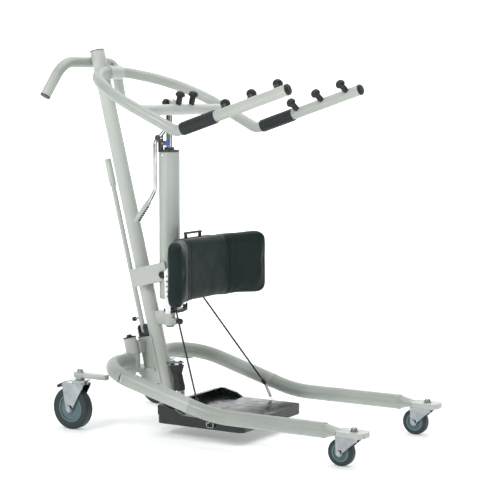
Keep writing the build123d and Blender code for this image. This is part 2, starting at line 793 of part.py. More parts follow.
column_x = pump_x - 18
column_y = -18.5
lever_x = -240.0
lever_y = -38.0
lever_z = 864.0
lever_side = Plane(origin=(lever_x, 0, lever_z), x_dir=(1, 0, 0), z_dir=(0, -1, 0))
with BuildPart() as pump_head:
    with BuildSketch(Plane.XY.offset(pump_top_z)):
        with Locations((pump_x, 0)):
            Circle(pump_r - 1)
    extrude(amount=7)
    with BuildSketch(Plane.XY.offset(pump_top_z + 7)):
        with Locations((pump_x, 0)):
            Circle(15)
    extrude(amount=8)
    with BuildSketch(Plane.XY.offset(pump_top_z)):
        with Locations((column_x, column_y)):
            Circle(8)
    extrude(amount=52)
    # cross shaft of the pump handle
    with BuildSketch(lever_side.offset(-column_y)):
        Circle(4)
    extrude(amount=26)
    with BuildSketch(lever_side.offset(44)):
        Circle(7)
    extrude(amount=3)
    with BuildSketch(Plane.XY.offset(pump_top_z)):
        with Locations((pump_x, 0)):
            Circle(rod_r + running_gap)
    extrude(amount=40, mode=Mode.SUBTRACT)
keep(pump_head, "pump_head")

knob_z = 848.0
with BuildPart() as release_valve:
    with BuildSketch(Plane(origin=(column_x + 7, column_y, knob_z), x_dir=(0, 1, 0), z_dir=(1, 0, 0))):
        Circle(6.5)
        Circle(3, mode=Mode.SUBTRACT)
    extrude(amount=6)
    with BuildSketch(Plane.XY.offset(pump_top_z)):
        with Locations((column_x, column_y)):
            Circle(8)
    extrude(amount=60, mode=Mode.SUBTRACT)
keep(release_valve, "release_valve")

with BuildPart() as release_knob:
    knob = Plane(origin=(column_x + 13.3, column_y, knob_z), x_dir=(0, 1, 0), z_dir=(1, 0, 0))
    with BuildSketch(knob):
        Circle(7.4)
    extrude(amount=12)
    for index in range(8):
        with BuildSketch(knob):
            with PolarLocations(7.9, 1, start_angle=45 * index):
                Circle(1.6)
        extrude(amount=12, mode=Mode.SUBTRACT)
    with BuildSketch(knob):
        Circle(2.9)
    extrude(amount=-4.5)
keep(release_knob, "release_knob")

with BuildPart() as ram_rod:
    with BuildSketch(Plane.XY.offset(600)):
        with Locations((pump_x, 0)):
            Circle(rod_r)
    extrude(amount=rod_pin_z - 600)
    with BuildSketch(Plane.XY.offset(590)):
        with Locations((pump_x, 0)):
            Circle(bore_r - 0.3)
    extrude(amount=22)
    with BuildSketch(Plane(origin=(rod_pin_x, 10.2, rod_pin_z), x_dir=(1, 0, 0), z_dir=(0, -1, 0))):
        Circle(12.5)
    extrude(amount=20.4)
    with BuildSketch(Plane(origin=(rod_pin_x, 10.2, rod_pin_z), x_dir=(1, 0, 0), z_dir=(0, -1, 0))):
        Circle(5.4)
    extrude(amount=20.4, mode=Mode.SUBTRACT)
keep(ram_rod, "ram_rod")

# ---- pump handle: a bent chrome rod with a moulded grip ----
lever_rod_r = 5.8
with BuildPart() as pump_handle:
    with BuildLine() as lever_path:
        FilletPolyline(
            (-217, lever_y, 887),
            (-253, lever_y, 851),
            (-254, lever_y, 708),
            (-270, lever_y, 681),
            (-322, lever_y, 614.5),
            radius=[14, 16, 16],
        )
    with BuildSketch(Plane(origin=lever_path.line @ 0, z_dir=lever_path.line % 0)):
        Circle(lever_rod_r)
    sweep()
    with BuildSketch(lever_side.offset(-lever_y - 5.7)):
        Circle(10)
    extrude(amount=11.4)
    with BuildSketch(lever_side.offset(-lever_y - 8)):
        Circle(4 + running_gap)
    extrude(amount=16, mode=Mode.SUBTRACT)
keep(pump_handle, "pump_handle")

grip_end = (-322, lever_y, 614.5)
grip_plane = Plane(origin=grip_end, x_dir=(0, 1, 0), z_dir=(52, 0, 66.5))
with BuildPart() as handle_grip:
    with BuildSketch(grip_plane.offset(-4)):
        Circle(8.8)
    extrude(amount=77)
    fillet(handle_grip.edges().filter_by(GeomType.CIRCLE), radius=2.5)
    with BuildSketch(grip_plane):
        Circle(lever_rod_r)
    extrude(amount=80, mode=Mode.SUBTRACT)
keep(handle_grip, "handle_grip")

# ---- shift lever behind the mast: clevis, rod and sleeve grip ----
shift_back = -45.0
shift_pin = 300.0
shift_axis = Plane(origin=mast_foot.from_local_coords((shift_back, 0, 0)), x_dir=forward, z_dir=upward)
shift_across = Plane(
    origin=mast_foot.from_local_coords((shift_back, 0, shift_pin)),
    x_dir=(0, 1, 0),
    z_dir=forward,
)
with BuildPart() as shift_clevis:
    with BuildSketch(shift_axis.offset(channel_high)):
        with Locations((4, 0)):
            Rectangle(36, 34)
    extrude(amount=4)
    for face in (-12.2, 8.2):
        with BuildSketch(shift_across.offset(face)):
            with Locations((0, -11)):
                Rectangle(26, 22)
            Circle(13)
        extrude(amount=4)
    with BuildSketch(shift_across.offset(-14)):
        Circle(3.5)
    extrude(amount=28)
    with BuildSketch(mast_foot.offset(200)):
        Circle(mast_r + 0.5)
    extrude(amount=200, mode=Mode.SUBTRACT)
keep(shift_clevis, "shift_clevis")

with BuildPart() as shift_rod:
    with BuildSketch(shift_axis.offset(shift_pin - 12)):
        Circle(7.4)
    extrude(amount=818 - shift_pin + 12)
    with BuildSketch(shift_across.offset(-14)):
        Circle(3.5 + running_gap)
    extrude(amount=28, mode=Mode.SUBTRACT)
    # spring plunger on the back of the rod
    with BuildSketch(shift_across.offset(-26)):
        with Locations((0, 34)):
            Circle(2.5)
    extrude(amount=19.5)
    with BuildSketch(shift_across.offset(-30)):
        with Locations((0, 34)):
            Circle(6)
    extrude(amount=10)
keep(shift_rod, "shift_rod")

with BuildPart() as shift_grip:
    with BuildSketch(shift_axis.offset(748)):
        Circle(10.2)
    extrude(amount=84)
    fillet(shift_grip.edges().group_by(Axis.Z)[-1], radius=5)
    with BuildSketch(shift_axis.offset(740)):
        Circle(7.4)
    extrude(amount=78, mode=Mode.SUBTRACT)
keep(shift_grip, "shift_grip")

# ---- knee rest: socket on the mast, sliding carriage, tilting board and pad ----
socket_low_z = 298.0
socket_high_z = 340.0
socket_r = 16.0
post_r = 12.0
with BuildPart() as knee_socket:
    with BuildSketch(Plane.XY.offset(socket_low_z)):
        with Locations((pump_x, 0)):
            Circle(socket_r)
    extrude(amount=socket_high_z - socket_low_z)
    with BuildSketch(Plane.XY.offset(socket_low_z + 2)):
        with Locations((pump_x - 30, 0)):
            Rectangle(60, 26)
    extrude(amount=socket_high_z - socket_low_z - 2)
    # lug for the clamp knob
    with BuildSketch(Plane.XY.offset(303)):
        with Locations((pump_x + 16, 0)):
            Rectangle(22, 18)
    extrude(amount=18)
    with BuildSketch(mast_foot.offset(200)):
        Circle(mast_r)
    extrude(amount=240, mode=Mode.SUBTRACT)
    with BuildSketch(mast_foot.offset(200)):
        with Locations((-40, 0)):
            Rectangle(80, 60)
    extrude(amount=240, mode=Mode.SUBTRACT)
    with BuildSketch(Plane.XY.offset(socket_low_z)):
        with Locations((pump_x, 0)):
            Circle(post_r)
    extrude(amount=60, mode=Mode.SUBTRACT)
    with BuildSketch(Plane(origin=(pump_x, 0, 312), x_dir=(0, 1, 0), z_dir=(1, 0, 0))):
        Circle(4)
    extrude(amount=40, mode=Mode.SUBTRACT)
keep(knee_socket, "knee_socket")

with BuildPart() as clamp_knob:
    with BuildSketch(Plane(origin=(pump_x + 13, 0, 312), x_dir=(0, 1, 0), z_dir=(1, 0, 0))):
        Circle(4 - running_gap)
    extrude(amount=20)
    with BuildSketch(Plane(origin=(pump_x + 31, 0, 312), x_dir=(0, 1, 0), z_dir=(1, 0, 0))):
        Circle(8.5)
    extrude(amount=13)
    fillet(clamp_knob.edges().group_by(Axis.X)[-1], radius=5)
    for index in range(6):
        with BuildSketch(Plane(origin=(pump_x + 31, 0, 312), x_dir=(0, 1, 0), z_dir=(1, 0, 0))):
            with PolarLocations(9.4, 1, start_angle=60 * index):
                Circle(2)
        extrude(amount=13, mode=Mode.SUBTRACT)
keep(clamp_knob, "clamp_knob")

cord_top = (-167.0, 73.6, 393.1)
cord_low = (-14.0, 184.0, 124.0)
cord_bar_z = 399.0
cord_bar_half = 78.0
strap_inside = 45.5
strap_thick = 3.0
strap_x = -204.0
tilt_x = -168.0
tilt_z = 470.0
with BuildPart() as knee_carriage:
    with BuildSketch(Plane.XY.offset(socket_low_z - 4)):
        with Locations((pump_x, 0)):
            Circle(post_r - running_gap)
    extrude(amount=socket_high_z - socket_low_z + 8)
    with BuildSketch(Plane.XY.offset(socket_high_z + 0.3)):
        with Locations((pump_x, 0)):
            Circle(19)
        with Locations((strap_x - 4, 0)):
            Rectangle(40, 40)
        with Locations((strap_x, 0)):
            Rectangle(16, 2 * strap_inside)
    extrude(amount=9)
    for side in (1, -1):
        with BuildSketch(Plane.XY.offset(socket_high_z + 9.3)):
            with Locations((pump_x + 9, side * 11)):
                Circle(8)
        extrude(amount=8)
    fillet(knee_carriage.edges().group_by(Axis.Z)[-1], radius=3)
keep(knee_carriage, "knee_carriage")

with BuildPart() as knee_straps:
    for face in (-strap_inside - strap_thick, strap_inside):
        strap = Plane.XZ.offset(face)
        with BuildSketch(strap):
            with BuildLine():
                Polyline(
                    (-212, 340.3),
                    (-196, 340.3),
                    (-194, 388),
                    (-162, 393),
                    (-162, 405),
                    (-198, 405),
                    (-200, 458),
                    (-160, 462),
                    (-160, 478),
                    (-204, 478),
                    (-216, 466),
                    (-212, 340.3),
                )
            make_face()
            for index in range(7):
                with Locations((-204.2 - 0.5 * index, 362 + 15 * index)):
                    Circle(3.4, mode=Mode.SUBTRACT)
        extrude(amount=strap_thick)
    # cross bar behind the pad, with an eye at each end for a cord
    cord_bar = Plane(origin=(cord_top[0], cord_bar_half, cord_bar_z), x_dir=(1, 0, 0), z_dir=(0, -1, 0))
    with BuildSketch(cord_bar):
        Circle(3.5)
    extrude(amount=2 * cord_bar_half)
    for side in (1, -1):
        top = Vector(cord_top[0], side * cord_top[1], cord_top[2])
        low = Vector(cord_low[0], side * cord_low[1], cord_low[2])
        with BuildSketch(Plane(origin=top, z_dir=top - low)):
            Circle(4.2)
        extrude(amount=8)
        # pivot pin of the pad board, with its washer outside
        pin = Plane(origin=(tilt_x, side * (strap_inside - 8), tilt_z), x_dir=(1, 0, 0), z_dir=(0, side, 0))
        with BuildSketch(pin):
            Circle(4)
        extrude(amount=8)
        with BuildSketch(pin.offset(8 + strap_thick)):
            Circle(7)
        extrude(amount=4)
keep(knee_straps, "knee_straps")

board_back_x = pad_front_x - pad_thickness - 8
with BuildPart() as pad_board:
    with BuildSketch(Plane(origin=(board_back_x, 0, 482), x_dir=(0, 1, 0), z_dir=(1, 0, 0))):
        RectangleRounded(200, 176, 12)
    extrude(amount=8)
    for side in (1, -1):
        lug = Plane(origin=(tilt_x, side * 38.5, tilt_z), x_dir=(1, 0, 0), z_dir=(0, side, 0))
        with BuildSketch(lug):
            with Locations((12, 0)):
                Rectangle(24, 24)
            Circle(12)
        extrude(amount=6.4)
        with BuildSketch(lug.offset(-2)):
            Circle(4 + running_gap)
        extrude(amount=12, mode=Mode.SUBTRACT)
    # grab bar above the top edge of the pad
    with BuildSketch(Plane(origin=(board_back_x, 0, 584), x_dir=(0, 1, 0), z_dir=(1, 0, 0))):
        RectangleRounded(92, 6, 2.9)
        for side in (1, -1):
            with Locations((side * 38, -10)):
                Rectangle(9, 18)
    extrude(amount=6)
keep(pad_board, "pad_board")

with BuildPart() as knee_pad:
    pad_back_x = pad_front_x - pad_thickness
    pad_outline = [
        (pad_front_x, 110),
        (-18, 234.4),
        (-60, 260.4),
        (pad_back_x, 124),
    ]
    pad_outline = pad_outline + [(x, -y) for x, y in reversed(pad_outline)]
    with BuildSketch(Plane.XY.offset(pad_bottom_z)):
        Polygon(*pad_outline, align=None)
    extrude(amount=pad_top_z - pad_bottom_z)
    fillet(knee_pad.edges().group_by(Axis.Z)[-1] + knee_pad.edges().group_by(Axis.Z)[0], radius=11)
keep(knee_pad, "knee_pad")

# ---- side cords: from the bar behind the knee pad down to springs hooked on the foot plate ----
cord_r = 2.6
hook = (24.0, 181.0, 63.0)
for name, side in sides:
    with BuildPart() as cord:
        with BuildLine() as cord_path:
            Line(
                (cord_top[0], side * cord_top[1], cord_top[2]),
                (cord_low[0], side * cord_low[1], cord_low[2]),
            )
        with BuildSketch(Plane(origin=cord_path.line @ 0, z_dir=cord_path.line % 0)):
            Circle(cord_r)
        sweep()
    keep(cord, f"{name}_cord")

with BuildPart() as cord_ends:
    for side in (1, -1):
        top = Vector(cord_top[0], side * cord_top[1], cord_top[2])
        low = Vector(cord_low[0], side * cord_low[1], cord_low[2])
        hook_point = Vector(hook[0], side * hook[1], hook[2])
        ferrule = Plane(origin=low, z_dir=low - top)
        with BuildSketch(ferrule):
            Circle(5.5)
        extrude(amount=18)
        spring_top = low + ferrule.z_dir * 18
        spring_way = hook_point - spring_top
        with BuildSketch(Plane(origin=spring_top, z_dir=spring_way).offset(-3)):
            Circle(4)
        extrude(amount=spring_way.length)
keep(cord_ends, "cord_ends")
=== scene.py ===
"""Sit to stand lift: the looks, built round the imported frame. Metres, in the frame's own axes."""

import json
import math

import bmesh
import bpy
import numpy as np
from mathutils import Matrix, Vector


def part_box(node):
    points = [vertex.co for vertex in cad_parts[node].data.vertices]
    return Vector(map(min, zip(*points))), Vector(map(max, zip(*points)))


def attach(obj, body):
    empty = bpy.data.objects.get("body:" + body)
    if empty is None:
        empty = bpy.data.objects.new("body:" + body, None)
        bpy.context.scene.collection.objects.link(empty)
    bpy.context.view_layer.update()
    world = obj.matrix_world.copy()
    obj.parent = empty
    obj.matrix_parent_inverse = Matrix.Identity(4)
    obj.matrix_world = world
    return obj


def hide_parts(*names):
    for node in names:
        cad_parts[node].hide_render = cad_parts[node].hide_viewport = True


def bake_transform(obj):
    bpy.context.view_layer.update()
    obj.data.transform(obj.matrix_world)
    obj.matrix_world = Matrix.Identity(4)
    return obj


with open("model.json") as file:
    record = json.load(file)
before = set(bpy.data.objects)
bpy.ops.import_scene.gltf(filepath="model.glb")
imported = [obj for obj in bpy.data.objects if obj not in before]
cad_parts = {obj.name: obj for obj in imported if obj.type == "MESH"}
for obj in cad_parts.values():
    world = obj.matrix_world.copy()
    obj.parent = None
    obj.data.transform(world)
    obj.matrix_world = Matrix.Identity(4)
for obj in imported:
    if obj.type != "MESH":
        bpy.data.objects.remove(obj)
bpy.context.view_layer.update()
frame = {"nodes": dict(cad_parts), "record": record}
nodes = frame["nodes"]

# ---- camera: a long lens a little above knee height, from the front right of the lift ----
azimuth = math.radians(31.17)
elevation = math.radians(5.73)
camera_place = Vector((2.448, -3.957, 1.005))
lens_mm = 114.65
sensor_mm = 36.0
camera_data = bpy.data.cameras.new("camera")
camera_data.lens = lens_mm
camera_data.sensor_width = sensor_mm
camera_data.clip_end = 40.0
camera = bpy.data.objects.new("camera", camera_data)
bpy.context.scene.collection.objects.link(camera)
back = Vector(
    (
        math.sin(azimuth) * math.cos(elevation),
        -math.cos(azimuth) * math.cos(elevation),
        math.sin(elevation),
    )
)
right = Vector((math.cos(azimuth), math.sin(azimuth), 0.0))
up = back.cross(right)
camera.matrix_world = Matrix(
    (
        (right.x, up.x, back.x, camera_place.x),
        (right.y, up.y, back.y, camera_place.y),
        (right.z, up.z, back.z, camera_place.z),
        (0, 0, 0, 1),
    )
)
bpy.context.scene.camera = camera


# ---- materials ----
class Nodes:
    """A material's node tree, with short calls for the nodes that it uses."""

    def __init__(self, name):
        self.material = bpy.data.materials.new(name)
        self.material.use_nodes = True
        self.tree = self.material.node_tree
        self.shader = self.tree.nodes["Principled BSDF"]
        self.place = self.add("ShaderNodeTexCoord").outputs["Object"]

    def add(self, kind, **values):
        node = self.tree.nodes.new(kind)
        for key, value in values.items():
            setattr(node, key, value)
        return node

    def link(self, source, target):
        self.tree.links.new(source, target)

    def set(self, socket, value):
        self.shader.inputs[socket].default_value = value

    def noise(self, scale, detail=3.0, rough=0.5, stretch=None):
        node = self.add("ShaderNodeTexNoise")
        node.inputs["Scale"].default_value = scale
        node.inputs["Detail"].default_value = detail
        node.inputs["Roughness"].default_value = rough
        place = self.place
        if stretch:
            mapping = self.add("ShaderNodeMapping")
            mapping.inputs["Scale"].default_value = stretch
            self.link(place, mapping.inputs["Vector"])
            place = mapping.outputs["Vector"]
        self.link(place, node.inputs["Vector"])
        return node.outputs["Fac"]

    def cells(self, scale, feature="F1"):
        node = self.add("ShaderNodeTexVoronoi", feature=feature)
        node.inputs["Scale"].default_value = scale
        self.link(self.place, node.inputs["Vector"])
        return node.outputs["Distance"]

    def spread(self, value, low, high, to_low=0.0, to_high=1.0):
        node = self.add("ShaderNodeMapRange")
        for key, number in zip(("From Min", "From Max", "To Min", "To Max"), (low, high, to_low, to_high)):
            node.inputs[key].default_value = number
        self.link(value, node.inputs["Value"])
        return node.outputs["Result"]

    def between(self, factor, first, second):
        """Two colours mixed; each is a tuple or another node's output."""
        node = self.add("ShaderNodeMix", data_type="RGBA")
        for index, colour in ((6, first), (7, second)):
            if isinstance(colour, tuple):
                node.inputs[index].default_value = (*colour, 1.0)
            else:
                self.link(colour, node.inputs[index])
        self.link(factor, node.inputs[0])
        return node.outputs[2]

    def edges(self, low=0.53, high=0.62):
        """0 on flat faces, 1 on sharp outer edges, where a finish wears first."""
        node = self.add("ShaderNodeNewGeometry")
        return self.spread(node.outputs["Pointiness"], low, high)

    def bumps(self, *layers):
        """Bump from several heights, each (height, strength, distance in metres)."""
        normal = None
        for height, strength, distance in layers:
            node = self.add("ShaderNodeBump")
            node.inputs["Strength"].default_value = strength
            node.inputs["Distance"].default_value = distance
            self.link(height, node.inputs["Height"])
            if normal:
                self.link(normal, node.inputs["Normal"])
            normal = node.outputs["Normal"]
        self.link(normal, self.shader.inputs["Normal"])


def powder_coat(name, colour, shade, rough=0.42):
    """Sprayed and baked paint: a faint orange peel, slow changes of tone, and paler worn edges."""
    m = Nodes(name)
    tone = m.between(m.spread(m.noise(5.0, 4.0), 0.35, 0.68), colour, shade)
    dust = m.between(
        m.spread(m.noise(60.0, 6.0, 0.7), 0.62, 0.8, 0.0, 0.25), tone, (0.40, 0.41, 0.38)
    )
    worn = m.between(m.spread(m.edges(), 0.0, 1.0, 0.0, 0.35), dust, (0.78, 0.80, 0.77))
    m.link(worn, m.shader.inputs["Base Color"])
    shine = m.spread(m.noise(22.0, 5.0), 0.3, 0.7, rough - 0.07, rough + 0.09)
    m.link(shine, m.shader.inputs["Roughness"])
    m.set("Coat Weight", 0.25)
    m.set("Coat Roughness", 0.22)
    m.bumps((m.noise(420.0, 2.0), 0.10, 0.0006), (m.noise(38.0, 2.0), 0.05, 0.002))
    return m.material


def plated(name, colour, rough, streak=(1.0, 1.0, 14.0), grain=0.06):
    """Bright metal: fine drawing marks one way, cloudy finger marks, darker in patches."""
    m = Nodes(name)
    marks = m.noise(190.0, 5.0, 0.6, stretch=streak)
    clouds = m.noise(34.0, 4.0, 0.6)
    dark = tuple(0.72 * c for c in colour)
    tone = m.between(m.spread(clouds, 0.35, 0.75), colour, dark)
    m.link(tone, m.shader.inputs["Base Color"])
    m.link(m.spread(clouds, 0.25, 0.8, rough * 0.7, rough * 1.5), m.shader.inputs["Roughness"])
    m.set("Metallic", 1.0)
    m.bumps((marks, grain, 0.0004))
    return m.material


def moulded(name, colour, pale, rough=0.5, grain=900.0, depth=0.22, sheen=0.0):
    """Moulded plastic or rubber: a spark-eroded grain, scuffs that run pale, and soft shine changes."""
    m = Nodes(name)
    scratches = m.noise(130.0, 8.0, 0.75, stretch=(1.0, 0.35, 1.0))
    scuffs = m.spread(scratches, 0.60, 0.78, 0.0, 0.5)
    tone = m.between(m.spread(m.noise(12.0, 4.0), 0.3, 0.75), colour, tuple(1.35 * c for c in colour))
    marked = m.between(scuffs, tone, pale)
    worn = m.between(m.spread(m.edges(), 0.0, 1.0, 0.0, 0.3), marked, pale)
    m.link(worn, m.shader.inputs["Base Color"])
    m.link(m.spread(m.noise(26.0, 5.0), 0.3, 0.72, rough - 0.1, rough + 0.12), m.shader.inputs["Roughness"])
    m.set("Sheen Weight", sheen)
    m.bumps((m.cells(grain), depth, 0.0004), (m.noise(70.0, 3.0), 0.05, 0.001))
    return m.material


def coated_cloth(name, colour, pale):
    """Wipe-clean upholstery: pebbled grain over a fine weave, with creased shine and painted shade in the
    grain's hollows.
    """
    m = Nodes(name)
    pebble = m.cells(420.0, "SMOOTH_F1")
    crease = m.noise(22.0, 6.0, 0.6)
    tone = m.between(m.spread(m.noise(9.0, 4.0), 0.3, 0.75), colour, pale)
    # painted shade: the hollows between the pebbles of the grain are coloured half as bright as the cover
    painted_hollow_shade = tuple(0.5 * c for c in colour)
    grain_with_painted_shade = m.between(m.spread(pebble, 0.2, 0.75, 0.0, 0.45), tone, painted_hollow_shade)
    m.link(grain_with_painted_shade, m.shader.inputs["Base Color"])
    m.link(m.spread(crease, 0.3, 0.7, 0.42, 0.6), m.shader.inputs["Roughness"])
    m.set("Specular IOR Level", 0.22)
    m.set("Sheen Weight", 0.05)
    m.set("Sheen Roughness", 0.4)
    m.bumps((crease, 0.12, 0.004), (pebble, 0.35, 0.0005), (m.noise(2200.0, 2.0), 0.08, 0.0002))
    return m.material


materials = {
    "sage_paint": powder_coat("sage_paint", (0.41, 0.445, 0.40), (0.345, 0.38, 0.34)),
    "cylinder_paint": powder_coat("cylinder_paint", (0.355, 0.405, 0.355), (0.31, 0.36, 0.315), 0.34),
    "sage_rod": powder_coat("sage_rod", (0.40, 0.435, 0.39), (0.34, 0.375, 0.335), 0.4),
    "bright_zinc": plated("bright_zinc", (0.40, 0.43, 0.44), 0.2),
    "chrome_plate": plated("chrome_plate", (0.70, 0.71, 0.72), 0.08, grain=0.02),
    "dark_steel": plated("dark_steel", (0.12, 0.13, 0.13), 0.36),
    "brass_fitting": plated("brass_fitting", (0.72, 0.52, 0.22), 0.28),
    "black_plastic": moulded("black_plastic", (0.008, 0.009, 0.009), (0.035, 0.037, 0.037), 0.42),
    "blue_plastic": moulded("blue_plastic", (0.02, 0.08, 0.36), (0.12, 0.22, 0.5), 0.35),
    "sage_plastic": moulded("sage_plastic", (0.44, 0.49, 0.44), (0.62, 0.66, 0.62), 0.48),
    "grip_rubber": moulded("grip_rubber", (0.007, 0.012, 0.013), (0.028, 0.036, 0.037), 0.5, sheen=0.1),
    "tyre_rubber": moulded("tyre_rubber", (0.014, 0.026, 0.028), (0.05, 0.07, 0.072), 0.58, sheen=0.08),
    "hub_plastic": moulded("hub_plastic", (0.085, 0.145, 0.16), (0.20, 0.27, 0.29), 0.42),
    "cord_black": moulded("cord_black", (0.010, 0.010, 0.010), (0.05, 0.05, 0.05), 0.5, 1500.0),
    "pad_cover": coated_cloth("pad_cover", (0.0055, 0.0165, 0.0155), (0.009, 0.022, 0.021)),
    "tray_plastic": moulded("tray_plastic", (0.008, 0.012, 0.010), (0.014, 0.019, 0.016), 0.2, 900.0, 0.06),
}
# each CAD piece takes its record's slot; the foot plate has a glossier moulding than other black parts
slots = {part["node"]: part["material_slot"] for part in frame["record"]["subparts"]}
for node, thing in nodes.items():
    for place in thing.material_slots:
        place.material = materials["tray_plastic" if node == "foot_plate" else slots[node]]


# ---- mesh helpers ----
def new_piece(name, mesh, body, slot):
    """A mesh object of the lift that rides on a body and takes a slot's material."""
    thing = bpy.data.objects.new(name, mesh)
    bpy.context.scene.collection.objects.link(thing)
    mesh.materials.clear()
    mesh.materials.append(materials[slot])
    for polygon in mesh.polygons:
        polygon.use_smooth = True
    if body:
        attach(thing, body)
    return thing


def tube(points, radius, sides=14, capped=True):
    """A round tube along points, with frames carried along so that it doesn't twist."""
    points = [Vector(p) for p in points]
    shape = bmesh.new()
    rings = []
    axis = (points[1] - points[0]).normalized()
    side = axis.orthogonal().normalized()
    for index, point in enumerate(points):
        ahead = points[min(index + 1, len(points) - 1)] - points[max(index - 1, 0)]
        ahead.normalize()
        side = (side - ahead * side.dot(ahead)).normalized()
        other = ahead.cross(side)
        size = radius(index / (len(points) - 1)) if callable(radius) else radius
        rings.append(
            [
                shape.verts.new(
                    point
                    + side * math.cos(2 * math.pi * k / sides) * size
                    + other * math.sin(2 * math.pi * k / sides) * size
                )
                for k in range(sides)
            ]
        )
    for first, second in zip(rings, rings[1:]):
        for k in range(sides):
            shape.faces.new((first[k], first[(k + 1) % sides], second[(k + 1) % sides], second[k]))
    if capped:
        shape.faces.new(rings[0][::-1])
        shape.faces.new(rings[-1])
    mesh = bpy.data.meshes.new("tube")
    shape.to_mesh(mesh)
    shape.free()
    return mesh


def spline_points(route):
    """Points along the smooth NURBS curve that has the route as its control points."""
    curve = bpy.data.curves.new("route", "CURVE")
    curve.dimensions = "3D"
    curve.resolution_u = 16
    spline = curve.splines.new("NURBS")
    spline.points.add(len(route) - 1)
    for point, place in zip(spline.points, route):
        point.co = (*place, 1.0)
    spline.order_u = 3
    spline.use_endpoint_u = True
    holder = bpy.data.objects.new("route", curve)
    bpy.context.scene.collection.objects.link(holder)
    mesh = bpy.data.meshes.new_from_object(holder)
    points = [vertex.co.copy() for vertex in mesh.vertices]
    bpy.data.objects.remove(holder)
    return points


# ---- side cords, pulled tight between the knee rest and the foot plate ----
cord_top = (-0.167, 0.0736, 0.3931)
cord_middle = (-0.0905, 0.1288, 0.25855)
cord_low = (-0.014, 0.184, 0.124)
hook = (0.024, 0.181, 0.063)
cord_radius = 0.0026
ferrule_length = 0.018
coil_share = 0.78
coil_turns = 15
coil_sides = 14
coil_radius = 0.0036
coil_wire_radius = 0.0010
hook_wire_radius = 0.0011
hook_curl_radius = 0.004


def ferrule_radius(share):
    """Full in the middle, drawn in sharply at both rims."""
    return 0.0055 - 0.0018 * abs(2 * share - 1) ** 6


for name, side in (("left", 1), ("right", -1)):
    top = Vector((cord_top[0], side * cord_top[1], cord_top[2]))
    low = Vector((cord_low[0], side * cord_low[1], cord_low[2]))
    line = spline_points([low, (cord_middle[0], side * cord_middle[1], cord_middle[2]), top])
    cord = new_piece(f"{name}_side_cord", tube(line, cord_radius), None, "cord_black")
    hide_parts(f"{name}_cord")
    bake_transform(cord)

    # black ferrule, coil spring and wire hook at the cord's lower end
    along = (low - top).normalized()
    ferrule_end = low + along * ferrule_length
    ferrule = new_piece(
        f"{name}_ferrule",
        tube([low.lerp(ferrule_end, k / 10) for k in range(11)], ferrule_radius, 18),
        "base",
        "cord_black",
    )
    if side > 0:
        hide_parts("cord_ends")
    hook_point = Vector((hook[0], side * hook[1], hook[2]))
    way = hook_point - ferrule_end
    axis = way.normalized()
    across = axis.orthogonal().normalized()
    other = axis.cross(across)
    coil_length = way.length * coil_share
    steps = coil_turns * coil_sides
    helix = []
    for k in range(steps + 1):
        angle = 2 * math.pi * k / coil_sides
        outward = across * math.cos(angle) + other * math.sin(angle)
        helix.append(ferrule_end + axis * (coil_length * k / steps) + outward * coil_radius)
    new_piece(f"{name}_spring", tube(helix, coil_wire_radius, 8), "base", "bright_zinc")
    start = ferrule_end + axis * coil_length
    hook_line = [start, start.lerp(hook_point, 0.6)]
    for angle in np.linspace(0.2, 4.6, 12):
        curl = Vector((hook_curl_radius * math.sin(angle), 0, hook_curl_radius * math.cos(angle) - 0.002))
        hook_line.append(hook_point + curl)
    new_piece(f"{name}_hook", tube(hook_line, hook_wire_radius, 8), "base", "chrome_plate")


# ---- knee pad: foam under a sewn, wipe-clean cover, with two folded wings ----
pad_middle_x = -0.115
pad_bottom = 0.384
pad_top = 0.579
fold_along = 0.117
wing_angle = math.radians(30.3)
pad_half_length = 0.2675
pad_half_thick = 0.0245
pad_inset = 0.002
pad_corner = 0.030
pad_round_end = 0.011
pad_ring_sides = 72
pad_swell_limit = 0.005


def pad_line(along):
    """Centre of the pad's thickness, and the way it faces, a distance along from its middle."""
    side = 1.0 if along >= 0 else -1.0
    place = Vector((pad_middle_x, 0.0, 0.0))
    steps = 48
    angle = 0.0
    for k in range(steps):
        here = abs(along) * (k + 0.5) / steps
        share = min(max((here - fold_along + 0.018) / 0.036, 0.0), 1.0)
        angle = wing_angle * share * share * (3 - 2 * share)
        place += Vector((math.sin(angle), side * math.cos(angle), 0.0)) * (abs(along) / steps)
    return place, Vector((math.cos(angle), -side * math.sin(angle), 0.0))


def fold(along, width):
    """1 at the two folds, falling away over a width."""
    return math.exp(-(((abs(along) - fold_along) / width) ** 2))


